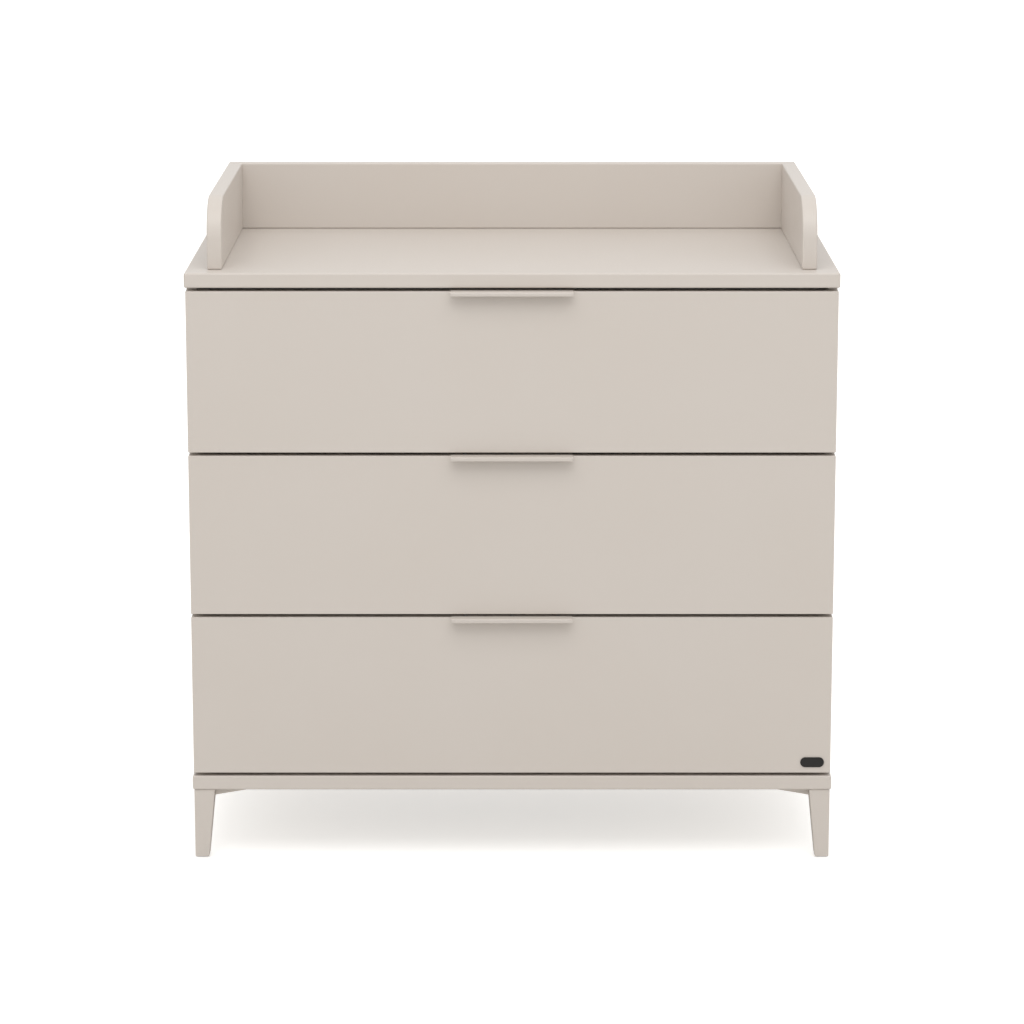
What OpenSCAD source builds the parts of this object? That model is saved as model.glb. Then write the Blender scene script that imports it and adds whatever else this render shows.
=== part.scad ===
// Changing table: a three-drawer chest on four tapered legs, with a low rail unit round its top.
// Millimetres. The origin is on the floor under the middle of the whole table, -Y is the drawer side.

/* [Chest] */
// Width of the top and bottom panels
chest_w = 970; // [900:5:1050]
// Depth of the top and bottom panels
chest_d = 510; // [500:5:560]
// Height of the changing surface above the floor
surface_h = 900; // [860:5:940]
// Thickness of the visible boards
board_t = 22; // [20:1:25]
// Thickness of the side panels
side_t = 15; // [12:1:18]
// Thickness of the back panel
back_t = 3; // [2:0.5:5]

/* [Rails] */
// Height of the rails above the changing surface
rail_h = 105; // [80:5:140]
// Distance from each end of the top panel to the side rail
rail_inset = 32; // [20:1:60]
// Distance from the front edge of the top panel to the side rails
rail_setback = 36; // [20:1:80]
// Radius of the front top corner of each side rail
rail_corner_r = 60; // [20:5:80]

/* [Drawers] */
// Gap between a drawer front and its neighbours
front_gap = 5; // [3:0.5:6]
// Height of a drawer box
box_h = 180; // [120:5:190]
// Length of a drawer box and of its runners
runner_l = 450; // [350:50:450]
// Thickness of the drawer box boards
box_t = 12; // [10:1:15]
// How far a drawer pulls out
drawer_travel = 400; // [250:10:420]

/* [Handles] */
// Length of the edge handle
handle_l = 182; // [120:2:300]
// How far the handle stands out from the drawer front
handle_reach = 16.5; // [12:0.5:25]
// Height of the handle's hanging lip
handle_lip = 6; // [6:0.5:12]
// Thickness of the handle's sheet
handle_t = 1.5; // [1:0.1:2]

/* [Legs] */
// Height of the legs
leg_h = 108; // [90:1:150]
// Width of a leg at the top
leg_top_w = 31.4; // [25:0.1:40]
// Width of a leg at the bottom
leg_foot_w = 21; // [14:0.5:25]
// Depth of a leg at the top
leg_top_d = 36; // [30:1:45]
// Depth of a leg at the bottom
leg_foot_d = 28; // [20:1:36]

/* [Hidden] */
$fn = 64;
EPS = 0.01;

// The handle stands out in front, so the chest sits that much behind the middle.
y_front = -(chest_d + handle_reach) / 2 + handle_reach;
y_back = y_front + chest_d;
x_end = chest_w / 2;
z_bottom = leg_h + board_t;
z_under_top = surface_h - board_t;
y_middle = (y_front + y_back) / 2;
reveal = 2;
glide_t = 1.5;
x_side = x_end - reveal;
x_inside = x_side - side_t;
y_sides = y_front + board_t + reveal;
back_recess = 14;
y_back_panel = y_back - back_recess - back_t;
bay_h = z_under_top - z_bottom;

levels = 3;
front_h = (bay_h - (levels + 1) * front_gap) / levels;
LEVEL = ["bottom", "middle", "top"];
function front_z(i) = z_bottom + front_gap + i * (front_h + front_gap);
box_rise = 16;
function box_z(i) = front_z(i) + box_rise;
runner_space = 12.7;
x_box = x_inside - runner_space;
y_box = y_front + board_t;
box_floor_t = 5;
floor_rise = 12;
floor_groove = 5;
function runner_z(i) = box_z(i) + 60;

// Ball-bearing runner, three nested sections.
runner_t = 1.2;
cabinet_h = 45.6;
middle_h = 36.8;
inner_h = 28;
y_runner = y_sides + 2;

stretcher_t = 15;
rear_stretcher_h = 45;
front_stretcher_d = 80;

cam_r = 7.5;
cam_t = 12.5;
cam_inset = 24;
cam_bolt_r = 3;
dowel_r = 4;
dowel_l = 30;
CAM_Y = [y_sides + 60, y_back_panel - 60];
DOWEL_Y = [y_sides + 110, y_back_panel - 110];
fit_gap = 0.05;

rail_screw_r = 3;
RAIL_SIDE_Y = [y_front + rail_setback + 90, y_back - board_t - 110];
RAIL_BACK_X = [-300, 0, 300];
x_rail = x_end - rail_inset;
y_rail_back = y_back - board_t;

y_leg = chest_d / 2 - reveal;
leg_slope_x = (leg_top_w - leg_foot_w) / (leg_h - glide_t);
leg_slope_y = (leg_top_d - leg_foot_d) / (leg_h - glide_t);
leg_bolt_r = 2.5;
leg_bolt_l = 44;
leg_bolt_inset = 21;
wing_l = 61;
wing_w = 18;
wing_h = 12.2;
wing_tip = 1.5;
wing_inset = 13;
block_screw_at = 32;
glide_r = 7;

RUNNER_SCREW_Y = [for (y = [35, 220, 400]) y_runner + y];
DRAWER_RUNNER_SCREW_Y = [for (y = [60, 230, 400]) y_box + y];
HANDLE_SCREW_X = [-70, 0, 70];
handle_sink = 0.5;

bracket_t = 2;
bracket_x = 380;
bracket_z = z_under_top - 22;
bracket_step = 8;
eye_r = 3;

label_w = 36;
label_h = 15.6;
label_t = 1.5;
label_x = x_side - 27.7;
label_rise = 16.8;

paint = "#CEC7BF";
steel = "#B9BCBF";
white_board = "#D9D4CC";

DRAWER_PARTS = ["drawer_front", "box_left", "box_right", "box_inner_front", "box_back", "box_floor",
                "handle", "drawer_screws", "drawer_runners", "middle_runners"];
CARCASS = ["top_panel", "bottom_panel", "side_panel_left", "side_panel_right", "back_panel",
           "front_stretcher", "rear_stretcher", "rail_back", "rail_left", "rail_right",
           "leg_front_left", "leg_front_right", "leg_rear_left", "leg_rear_right", "corner_blocks",
           "leg_bolts", "leg_glides", "wood_screws", "cam_locks", "cam_bolts", "dowels",
           "rail_screws", "wall_brackets", "back_nails", "bumpers",
           "cabinet_runners_top", "cabinet_runners_middle", "cabinet_runners_bottom"];

// ---- shared shapes ----

// A box from its lowest to its highest corner.
module block(low, high) {
    translate(low) cube(high - low);
}

// Children made for the right rear corner, with y from the middle of the chest, moved to one corner.
module to_corner(sx, sy) {
    translate([0, y_middle, 0]) mirror([sx < 0 ? 1 : 0, 0, 0]) mirror([0, sy < 0 ? 1 : 0, 0]) children();
}

module at_corners() {
    for (sx = [-1, 1], sy = [-1, 1]) to_corner(sx, sy) children();
}

// The same thing on the left and on the right.
module both_sides() {
    children();
    mirror([1, 0, 0]) children();
}

// A wood screw pointing along -Z with the top of its head at z = 0.
module screw(head_r, head_t, shank_r, length) {
    translate([0, 0, -head_t]) cylinder(r = head_r, h = head_t, $fn = 32);
    translate([0, 0, -length]) cylinder(r = shank_r, h = length - head_t + EPS, $fn = 32);
}

// A drilled hole along +Z from z = 0.
module drill(r, h) {
    cylinder(r = r + fit_gap, h = h, $fn = 32);
}

// ---- top, bottom and side panels ----

module cam_bolt_places() {
    for (x = [-1, 1], y = CAM_Y) translate([x * (x_inside + side_t / 2), y, 0]) children();
}

module dowel_places() {
    for (x = [-1, 1], y = DOWEL_Y) translate([x * (x_inside + side_t / 2), y, 0]) children();
}

module rail_screw_places() {
    for (x = [-1, 1], y = RAIL_SIDE_Y) translate([x * (x_rail - board_t / 2), y, 0]) children();
    for (x = RAIL_BACK_X) translate([x, y_back - board_t / 2, 0]) children();
}

module leg_bolt_places() {
    at_corners() translate([x_side - leg_bolt_inset, y_leg - leg_bolt_inset, 0]) children();
}

module top_panel() {
    color(paint) difference() {
        block([-x_end, y_front, z_under_top], [x_end, y_back, surface_h]);
        translate([0, 0, z_under_top]) {
            cam_bolt_places() translate([0, 0, -1]) drill(cam_bolt_r, 13);
            dowel_places() translate([0, 0, -1]) drill(dowel_r, 13);
            rail_screw_places() translate([0, 0, -1]) drill(rail_screw_r, board_t + 2);
            rail_screw_places() translate([0, 0, -1]) drill(6, 5);
        }
    }
}

module bottom_panel() {
    color(paint) difference() {
        block([-x_end, y_front, leg_h], [x_end, y_back, z_bottom]);
        translate([0, 0, z_bottom]) {
            cam_bolt_places() translate([0, 0, -12]) drill(cam_bolt_r, 13);
            dowel_places() translate([0, 0, -12]) drill(dowel_r, 13);
            leg_bolt_places() translate([0, 0, -board_t - 1]) drill(leg_bolt_r, board_t + 2);
        }
    }
}

module side_panel() {
    color(paint) difference() {
        block([x_inside, y_sides, z_bottom], [x_side, y_back_panel, z_under_top]);
        for (y = CAM_Y, z = [z_bottom + cam_inset, z_under_top - cam_inset])
            translate([x_inside - 1, y, z]) rotate([0, 90, 0]) cylinder(r = cam_r + fit_gap, h = cam_t + 1);
        cam_bolt_places() {
            translate([0, 0, z_bottom - 1]) drill(cam_bolt_r, cam_inset);
            translate([0, 0, z_under_top + 1 - cam_inset]) drill(cam_bolt_r, cam_inset);
        }
        dowel_places() {
            translate([0, 0, z_bottom - 1]) drill(dowel_r, dowel_l - 10);
            translate([0, 0, z_under_top + 11 - dowel_l]) drill(dowel_r, dowel_l);
        }
    }
}

module back_panel() {
    color("#C9B79C")
        block([-x_side + 1, y_back_panel, z_bottom], [x_side - 1, y_back_panel + back_t, z_under_top]);
}

module front_stretcher() {
    color(white_board)
        block([-x_inside, y_sides + 30, z_under_top - stretcher_t],
              [x_inside, y_sides + 30 + front_stretcher_d, z_under_top]);
}

module rear_stretcher() {
    color(white_board)
        block([-x_inside, y_back_panel - stretcher_t, z_under_top - rear_stretcher_h],
              [x_inside, y_back_panel, z_under_top]);
}

// ---- rails round the changing surface ----

module rail_pilot_holes() {
    translate([0, 0, surface_h - EPS]) rail_screw_places() drill(rail_screw_r, 40);
    rail_end_places() rotate([90, 0, 0]) translate([0, 0, -1]) drill(rail_screw_r, 51);
    rail_end_places() rotate([90, 0, 0]) translate([0, 0, -1]) drill(5, 4);
}

// Where screws go through the back rail into the ends of the side rails.
module rail_end_places() {
    for (x = [-1, 1], z = [28, rail_h - 28])
        translate([x * (x_rail - board_t / 2), y_back, surface_h + z]) children();
}

module rail_back() {
    color(paint) difference() {
        block([-x_rail, y_rail_back, surface_h], [x_rail, y_back, surface_h + rail_h]);
        rail_pilot_holes();
    }
}

module rail_side() {
    y0 = y_front + rail_setback;
    color(paint) difference() {
        translate([x_rail, 0, surface_h]) rotate([90, 0, -90]) linear_extrude(board_t) difference() {
            translate([-y_rail_back, 0]) square([y_rail_back - y0, rail_h]);
            translate([-y0 - rail_corner_r, rail_h - rail_corner_r]) difference() {
                square(rail_corner_r + 1);
                circle(r = rail_corner_r, $fn = 128);
            }
        }
        rail_pilot_holes();
    }
}

module rail_screws() {
    color(steel) {
        translate([0, 0, z_under_top + 1]) rail_screw_places()
            mirror([0, 0, 1]) screw(5, 3, rail_screw_r, 50);
        rail_end_places() translate([0, -1, 0]) rotate([-90, 0, 0]) screw(5, 2, rail_screw_r, 48);
    }
}

// ---- legs ----

// One leg: upright on its two outer faces, tapered on its two inner ones.
module leg(sx, sy) {
    color(paint) to_corner(sx, sy) difference() {
        intersection() {
            translate([0, y_leg, 0]) rotate([90, 0, 0]) linear_extrude(leg_top_d)
                leg_outline(x_side, leg_top_w, leg_foot_w);
            translate([x_side - leg_top_w, 0, 0]) rotate([90, 0, 90]) linear_extrude(leg_top_w)
                leg_outline(y_leg, leg_top_d, leg_foot_d);
        }
        translate([x_side - leg_bolt_inset, y_leg - leg_bolt_inset, leg_h - 24]) drill(leg_bolt_r, 25);
    }
}

module leg_outline(outer, top, foot) {
    polygon([[outer, glide_t], [outer, leg_h], [outer - top, leg_h], [outer - foot, glide_t]]);
}

// The tapered wing of a corner block, along +X from x = 0, its wide end against the leg.
module wing(slope) {
    rotate([90, 0, 0]) translate([0, 0, -wing_w / 2]) linear_extrude(wing_w)
        polygon([[0, 0], [-wing_h * slope, -wing_h], [wing_l, -wing_tip], [wing_l, 0]]);
}

module corner_blocks() {
    color(paint) at_corners() {
        translate([x_side - leg_top_w, y_leg - wing_inset - wing_w / 2, leg_h])
            mirror([1, 0, 0]) wing(leg_slope_x);
        translate([x_side - leg_top_w / 2, y_leg - leg_top_d, leg_h]) rotate([0, 0, -90]) wing(leg_slope_y);
    }
}

module leg_bolts() {
    color(steel) translate([0, 0, z_bottom + 2]) leg_bolt_places() screw(5, 2, leg_bolt_r, leg_bolt_l);
}

module leg_glides() {
    color("#A8A299") at_corners()
        translate([x_side - leg_foot_w / 2, y_leg - leg_foot_d / 2, 0]) cylinder(r = glide_r, h = glide_t);
}

// ---- fittings inside the carcass ----

module cam_locks() {
    color(steel) both_sides() for (y = CAM_Y, z = [z_bottom + cam_inset, z_under_top - cam_inset])
        translate([x_inside, y, z]) rotate([0, 90, 0]) difference() {
            cylinder(r = cam_r, h = cam_t - 0.5);
            translate([0, 0, -1]) linear_extrude(3) {
                square([8, 1.6], center = true);
                square([1.6, 8], center = true);
            }
            for (a = [0, 180]) rotate([0, 0, a]) translate([0, 0, side_t / 2])
                rotate([0, 90, 0]) drill(cam_bolt_r, cam_r + 1);
        }
}

module cam_bolts() {
    reach = cam_inset - 3;
    color(steel) cam_bolt_places() {
        translate([0, 0, z_bottom - 11]) cylinder(r = cam_bolt_r, h = 11 + reach, $fn = 32);
        translate([0, 0, z_under_top - reach]) cylinder(r = cam_bolt_r, h = 11 + reach, $fn = 32);
    }
}

module dowels() {
    color("#D8B98C") dowel_places() {
        translate([0, 0, z_bottom - 11]) cylinder(r = dowel_r, h = dowel_l, $fn = 32);
        translate([0, 0, z_under_top + 11 - dowel_l]) cylinder(r = dowel_r, h = dowel_l, $fn = 32);
    }
}

// Wood screws that hold the runners, the wall brackets and the corner blocks.
module wood_screws() {
    color(steel) {
        both_sides() for (i = [0:levels - 1], y = RUNNER_SCREW_Y)
            translate([x_inside - runner_t - 1, y, runner_z(i)]) rotate([0, -90, 0]) screw(3.4, 1, 1.7, 13);
        both_sides() translate([bracket_x, y_back_panel + back_t + bracket_t + 1, bracket_z])
            rotate([-90, 0, 0]) screw(3.4, 1, 1.7, 16);
        at_corners() translate([0, 0, leg_h - 7.6]) {
            translate([x_side - leg_top_w - block_screw_at, y_leg - wing_inset - wing_w / 2, 0])
                mirror([0, 0, 1]) screw(3.4, 1, 1.7, 19);
            translate([x_side - leg_top_w / 2, y_leg - leg_top_d - block_screw_at, 0])
                mirror([0, 0, 1]) screw(3.4, 1, 1.7, 19);
        }
    }
}

// Steel anti-tip brackets: a foot on the back panel, stepped out to an eye for the wall screw.
module wall_brackets() {
    y0 = y_back_panel + back_t;
    y1 = y0 + bracket_step;
    z0 = bracket_z;
    color(steel) both_sides() difference() {
        union() {
            block([bracket_x - 12, y0, z0 - 12], [bracket_x + 12, y0 + bracket_t, z0 + 12]);
            block([bracket_x - 12, y0, z0 - 12], [bracket_x + 12, y1 + bracket_t, z0 - 12 + bracket_t]);
            block([bracket_x - 12, y1, z0 - 40], [bracket_x + 12, y1 + bracket_t, z0 - 12 + bracket_t]);
        }
        translate([bracket_x, y0 - 1, z0]) rotate([-90, 0, 0]) drill(1.75, bracket_t + 2);
        translate([bracket_x, y1 - 1, z0 - 26]) rotate([-90, 0, 0]) cylinder(r = eye_r, h = bracket_t + 2);
    }
}

module back_nails() {
    step = 115;
    y0 = y_back_panel + back_t;
    color(steel) {
        both_sides() for (z = [z_bottom + 30:step:z_under_top - 20])
            translate([x_inside + side_t / 2, y0 + 1, z]) rotate([-90, 0, 0]) screw(2.6, 1, 0.8, 16);
        for (x = [-330:110:330])
            translate([x, y0 + 1, z_under_top - 10]) rotate([-90, 0, 0]) screw(2.6, 1, 0.8, 16);
    }
}

module bumpers() {
    color("#E8E6E2") both_sides() for (i = [0:levels - 1], z = [30, front_h - 30])
        translate([x_inside + side_t / 2, y_sides, front_z(i) + z])
            rotate([90, 0, 0]) cylinder(r = 4, h = reveal - 0.2);
}

// ---- runners: cabinet member, middle member, drawer member ----

// A channel along Y: a web at x0 with two flanges that reach to x1 and from x2.
module channel(x0, x1, x2, h, y0, z) {
    translate([0, y0 + runner_l, z]) rotate([90, 0, 0]) linear_extrude(runner_l) {
        translate([x0, -h / 2]) square([runner_t, h]);
        for (s = [-1, 1]) translate([x2, s * (h - runner_t) / 2 - runner_t / 2]) square([x1 - x2, runner_t]);
    }
}

module cabinet_runners(i) {
    color(steel) both_sides() difference() {
        channel(x_inside - runner_t, x_inside, x_inside - 9.4, cabinet_h, y_runner, runner_z(i));
        for (y = RUNNER_SCREW_Y) translate([x_inside - 3, y, runner_z(i)]) rotate([0, 90, 0])
            drill(1.75, 4);
    }
}

module middle_runners(i) {
    color("#C6C8CA") both_sides()
        channel(x_inside - 6.6, x_inside - 2.4, x_inside - 10, middle_h, y_runner, runner_z(i));
}

module drawer_runners(i) {
    color(steel) both_sides() difference() {
        channel(x_box, x_box + 5.3, x_box, inner_h, y_box, runner_z(i));
        for (y = DRAWER_RUNNER_SCREW_Y) translate([x_box - 1, y, runner_z(i)]) rotate([0, 90, 0])
            drill(1.75, 4);
    }
}

// ---- drawers ----

module drawer_front(i) {
    z0 = front_z(i);
    color(paint) difference() {
        block([-x_side, y_front, z0], [x_side, y_front + board_t, z0 + front_h]);
        block([-handle_l / 2 - 0.2, y_front - 1, z0 + front_h - handle_sink],
              [handle_l / 2 + 0.2, y_front + board_t + 1, z0 + front_h + 1]);
    }
}

module box_side(i) {
    z0 = box_z(i);
    color(white_board) difference() {
        block([x_box - box_t, y_box, z0], [x_box, y_box + runner_l, z0 + box_h]);
        floor_panel(z0);
    }
}

// The drawer's floor, which sits in grooves in the four boards round it.
module floor_panel(z0) {
    x = x_box - box_t + floor_groove;
    y = y_box + box_t - floor_groove;
    z = z0 + floor_rise;
    block([-x, y, z], [x, y + runner_l - 2 * (box_t - floor_groove), z + box_floor_t]);
}

module box_inner_front(i) {
    z0 = box_z(i);
    color(white_board) difference() {
        block([-x_box + box_t, y_box, z0], [x_box - box_t, y_box + box_t, z0 + box_h]);
        floor_panel(z0);
    }
}

module box_back(i) {
    z0 = box_z(i);
    color(white_board) difference() {
        block([-x_box + box_t, y_box + runner_l - box_t, z0], [x_box - box_t, y_box + runner_l, z0 + box_h]);
        floor_panel(z0);
    }
}

module box_floor(i) {
    color("#E4E0D9") floor_panel(box_z(i));
}

// An angle of sheet steel that sits on the drawer front's top edge and turns down in front of it.
module handle(i) {
    z_top = front_z(i) + front_h - handle_sink + handle_t;
    color(paint) difference() {
        union() {
            block([-handle_l / 2, y_front - handle_reach, z_top - handle_t],
                  [handle_l / 2, y_front + board_t - 2, z_top]);
            block([-handle_l / 2, y_front - handle_reach, z_top - handle_lip],
                  [handle_l / 2, y_front - handle_reach + handle_t, z_top]);
        }
        for (x = HANDLE_SCREW_X) translate([x, y_front + 9, z_top - handle_t - 1])
            drill(1.75, handle_t + 2);
    }
}

// Screws that hold the handle and the drawer front.
module drawer_screws(i) {
    z_top = front_z(i) + front_h - handle_sink + handle_t;
    color(steel) {
        for (x = HANDLE_SCREW_X) translate([x, y_front + 9, z_top + 0.8]) screw(3.4, 0.8, 1.7, 18);
        for (x = [-380, -130, 130, 380], z = [40, box_h - 40])
            translate([x, y_box + box_t + 1.6, box_z(i) + z]) rotate([-90, 0, 0]) screw(4.5, 1.6, 2, 28);
        both_sides() for (y = DRAWER_RUNNER_SCREW_Y) translate([x_box + runner_t + 0.8, y, runner_z(i)])
            rotate([0, 90, 0]) screw(3.4, 0.8, 1.7, 11);
    }
}

module label_plate() {
    color("#262524") translate([label_x, y_front, front_z(0) + label_rise])
        rotate([90, 0, 0]) linear_extrude(label_t) {
        square([label_w - label_h, label_h], center = true);
        for (x = [-1, 1]) translate([x * (label_w - label_h) / 2, 0]) circle(r = label_h / 2);
    }
}

// ---- the parts ----

top_panel();
bottom_panel();
mirror([1, 0, 0]) side_panel();  // side_panel_left
side_panel();  // side_panel_right
back_panel();
front_stretcher();
rear_stretcher();
rail_back();
mirror([1, 0, 0]) rail_side();  // rail_left
rail_side();  // rail_right
leg(-1, -1);  // leg_front_left
leg(1, -1);  // leg_front_right
leg(-1, 1);  // leg_rear_left
leg(1, 1);  // leg_rear_right
corner_blocks();
leg_bolts();
leg_glides();
wood_screws();
cam_locks();
cam_bolts();
dowels();
rail_screws();
wall_brackets();
back_nails();
bumpers();
label_plate();

for (i = [0:levels - 1]) {
    drawer_front(i);
    mirror([1, 0, 0]) box_side(i);
    box_side(i);
    box_inner_front(i);
    box_back(i);
    box_floor(i);
    handle(i);
    drawer_screws(i);
    drawer_runners(i);
    middle_runners(i);
    cabinet_runners(i);
}
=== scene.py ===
"""Changing table: the finished look of every piece, built round its CAD frame."""

import math

import bmesh
import bpy
from bpy.props import FloatProperty, FloatVectorProperty, IntProperty, PointerProperty
from mathutils import Matrix, Vector


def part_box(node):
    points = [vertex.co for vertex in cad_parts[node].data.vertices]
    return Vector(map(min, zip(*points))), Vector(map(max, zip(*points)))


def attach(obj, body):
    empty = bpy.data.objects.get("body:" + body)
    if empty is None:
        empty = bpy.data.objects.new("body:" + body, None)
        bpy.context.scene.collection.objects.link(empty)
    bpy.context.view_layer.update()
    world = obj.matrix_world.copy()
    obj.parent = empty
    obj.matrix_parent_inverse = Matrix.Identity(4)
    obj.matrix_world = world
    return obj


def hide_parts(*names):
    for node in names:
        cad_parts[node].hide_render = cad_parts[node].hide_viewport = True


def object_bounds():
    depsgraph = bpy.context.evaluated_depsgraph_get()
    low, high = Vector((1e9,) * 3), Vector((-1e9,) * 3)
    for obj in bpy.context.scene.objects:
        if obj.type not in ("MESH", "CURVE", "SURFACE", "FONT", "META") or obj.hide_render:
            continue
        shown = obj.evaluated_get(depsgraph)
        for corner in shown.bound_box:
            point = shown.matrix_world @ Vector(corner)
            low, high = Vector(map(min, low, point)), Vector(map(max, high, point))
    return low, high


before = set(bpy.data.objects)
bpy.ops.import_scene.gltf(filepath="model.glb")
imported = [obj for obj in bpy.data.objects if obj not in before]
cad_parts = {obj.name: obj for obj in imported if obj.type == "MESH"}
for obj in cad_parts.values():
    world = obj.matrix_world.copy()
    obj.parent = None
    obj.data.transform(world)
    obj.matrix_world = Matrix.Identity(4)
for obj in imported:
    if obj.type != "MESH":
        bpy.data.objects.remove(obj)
CAD_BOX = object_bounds()

bl_info = {
    "name": "Changing table",
    "version": (1, 0, 0),
    "blender": (4, 5, 0),
    "location": "3D View > Sidebar > Table",
    "description": "Builds a nursery changing table piece by piece",
    "category": "Object",
}

MM = 0.001
LEVELS = ("top", "middle", "bottom")
SIDES = ("left", "right")
CORNERS = ("front_left", "front_right", "rear_left", "rear_right")


def linear(hex_colour):
    """An sRGB hex colour as the linear RGB that shaders take."""
    parts = [int(hex_colour[i : i + 2], 16) / 255 for i in (1, 3, 5)]
    return [c / 12.92 if c <= 0.04045 else ((c + 0.055) / 1.055) ** 2.4 for c in parts]


# ---- what a user would change ----


def colour(name, description, hex_colour):
    return FloatVectorProperty(
        name=name, description=description, default=linear(hex_colour), subtype="COLOR", min=0, max=1
    )


def length(name, description, default_mm):
    return FloatProperty(
        name=name, description=description, default=default_mm * MM, unit="LENGTH", min=0, precision=4
    )


def amount(name, description, default, unit="NONE"):
    return FloatProperty(name=name, description=description, default=default, unit=unit)


class TableFinish(bpy.types.PropertyGroup):
    """Colours of the table's finishes."""

    lacquer: colour("Lacquer", "Satin lacquer on the visible boards", "#CCC4BC")
    melamine: colour("Drawer board", "Melamine faces of the drawer boxes", "#DAD6CF")
    hardboard: colour("Hardboard", "Smooth side of the nailed-on back", "#A08C73")
    zinc: colour("Zinc plate", "Bright zinc on runners and screws", "#C3C5C6")
    die_cast: colour("Die-cast zinc", "Cam locks", "#9C9D9E")
    beech: colour("Beech", "Turned dowels", "#D9B888")
    label: colour("Label", "Blank plate on the bottom drawer", "#161412")
    glide: colour("Glides", "Moulded glides under the legs", "#A8A299")
    bumper: colour("Bumpers", "Soft clear bumpers behind the fronts", "#DEDCD6")
    cage: colour("Ball cage", "Nylon cages between the runner sections", "#3C4043")
    floor: colour("Floor", "Lit studio table under the piece", "#E4E3E1")


class TableSizes(bpy.types.PropertyGroup):
    """Small sizes that finish the pieces."""

    panel_edge: length("Panel edge", "Radius of the top and bottom panels' edges", 2.6)
    front_edge: length("Front edge", "Radius of the drawer fronts' edges", 1.0)
    rail_edge: length("Rail edge", "Radius of the rails' edges", 2.5)
    rail_corner: length("Rail corner", "Radius of the side rails' front top corner", 60)
    leg_edge: length("Leg edge", "Radius of the legs' edges", 1.5)
    box_edge: length("Box edge", "Radius of the drawer boards' edges", 0.7)
    sheet: length("Handle sheet", "Thickness of the handle's sheet", 1.5)
    bend: length("Handle bend", "Inner radius of the handle's fold", 0.4)
    thin_edge: length("Thin board edge", "Radius of the back's and the drawer floors' edges", 0.3)
    glide_edge: length("Glide edge", "Radius of the glides' edges", 0.8)
    handle_edge: length("Handle edge", "Radius of the handle sheet's cut edges", 0.35)
    plate_edge: length("Plate edge", "Radius of the blank plate's edges", 0.5)
    bore_play: length("Bore play", "How much wider a bore is than what sits in it, on its radius", 0.1)
    cam_bore: length("Cam bore", "Depth of the bores for the cam locks", 12.5)
    counterbore: length("Counterbore", "Depth of the bores for the back rail's screws", 3)
    runner_sheet: length("Runner sheet", "Thickness of the runners' rolled steel", 1.2)
    runner_bend: length("Runner bend", "Inner radius of the runners' rolled corners", 0.9)
    runner_lip: length("Runner lip", "Turned-in edge of the cabinet members", 2.6)
    runner_edge: length("Runner edge", "Radius of the runner sheet's cut edges", 0.15)
    ball: length("Runner ball", "Radius of a runner ball", 1.55)
    ball_pitch: length("Ball pitch", "Distance from one ball to the next", 12.5)
    cage_w: length("Cage width", "Width of a ball cage", 3.4)
    cage_t: length("Cage thickness", "Thickness of a ball cage", 1)


class TableStage(bpy.types.PropertyGroup):
    """Camera and light."""

    distance: amount("Distance", "Camera to the front of the top panel", 5.5, "LENGTH")
    height: amount("Height", "Camera above the floor", 1.718, "LENGTH")
    pitch: amount("Pitch", "Camera tilt down", math.radians(12.09), "ROTATION")
    lens: amount("Lens", "Focal length", 132.2, "CAMERA")
    sensor: amount("Sensor", "Width of the camera's sensor", 36, "CAMERA")
    zenith: amount("Zenith", "Strength of the white surroundings overhead", 0.94)
    horizon: amount("Horizon", "Strength of the white surroundings low down", 0.87)
    glow: amount("Glow", "How far the floor is lit from below", 0.68)
    key: amount("Key", "Power of the soft light high in front", 38.0, "POWER")
    overhead: amount("Overhead", "Power of the strip light overhead", 12.0, "POWER")
    floor: amount("Floor", "Radius of the round floor", 45, "LENGTH")
    seed: IntProperty(name="Seed", description="Seed of the screws' random turn", default=7)


# ---- meshes ----


def merged(node):
    """A bmesh of a CAD node with its loose triangles joined."""
    bm = bmesh.new()
    bm.from_mesh(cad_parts[node].data)
    bmesh.ops.remove_doubles(bm, verts=bm.verts, dist=1e-6)
    return bm


def solids(node):
    """The corner points of each separate solid of a CAD node, from left to right."""
    bm = merged(node)
    unseen, found = set(bm.verts), []
    while unseen:
        group, waiting = [], [unseen.pop()]
        while waiting:
            v = waiting.pop()
            group.append(v.co.copy())
            near = {e.other_vert(v) for e in v.link_edges} & unseen
            unseen -= near
            waiting.extend(near)
        found.append(group)
    bm.free()
    return sorted(found, key=lambda g: tuple(round(c, 5) for c in sum(g, Vector()) / len(g)))


def span(points):
    """Lowest and highest corner of some points."""
    return (Vector([min(p[i] for p in points) for i in range(3)]),
            Vector([max(p[i] for p in points) for i in range(3)]))


def hull(points):
    """A bmesh of the convex hull of some points, with whole flat faces."""
    bm = bmesh.new()
    result = bmesh.ops.convex_hull(bm, input=[bm.verts.new(p) for p in points])
    spare = {v for v in result["geom_unused"] + result["geom_interior"] if isinstance(v, bmesh.types.BMVert)}
    bmesh.ops.delete(bm, geom=list(spare), context="VERTS")
    bmesh.ops.dissolve_limit(bm, angle_limit=math.radians(0.5), verts=bm.verts, edges=bm.edges)
    bmesh.ops.recalc_face_normals(bm, faces=bm.faces)
    return bm


def extruded(outline, start, end):
    """A bmesh of a flat outline of points carried from start to end, two vectors added to it."""
    bm = bmesh.new()
    face = bm.faces.new([bm.verts.new(Vector(p) + start) for p in outline])
    moved = bmesh.ops.extrude_face_region(bm, geom=[face])
    verts = [v for v in moved["geom"] if isinstance(v, bmesh.types.BMVert)]
    bmesh.ops.translate(bm, verts=verts, vec=end - start)
    bmesh.ops.recalc_face_normals(bm, faces=bm.faces)
    return bm


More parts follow.
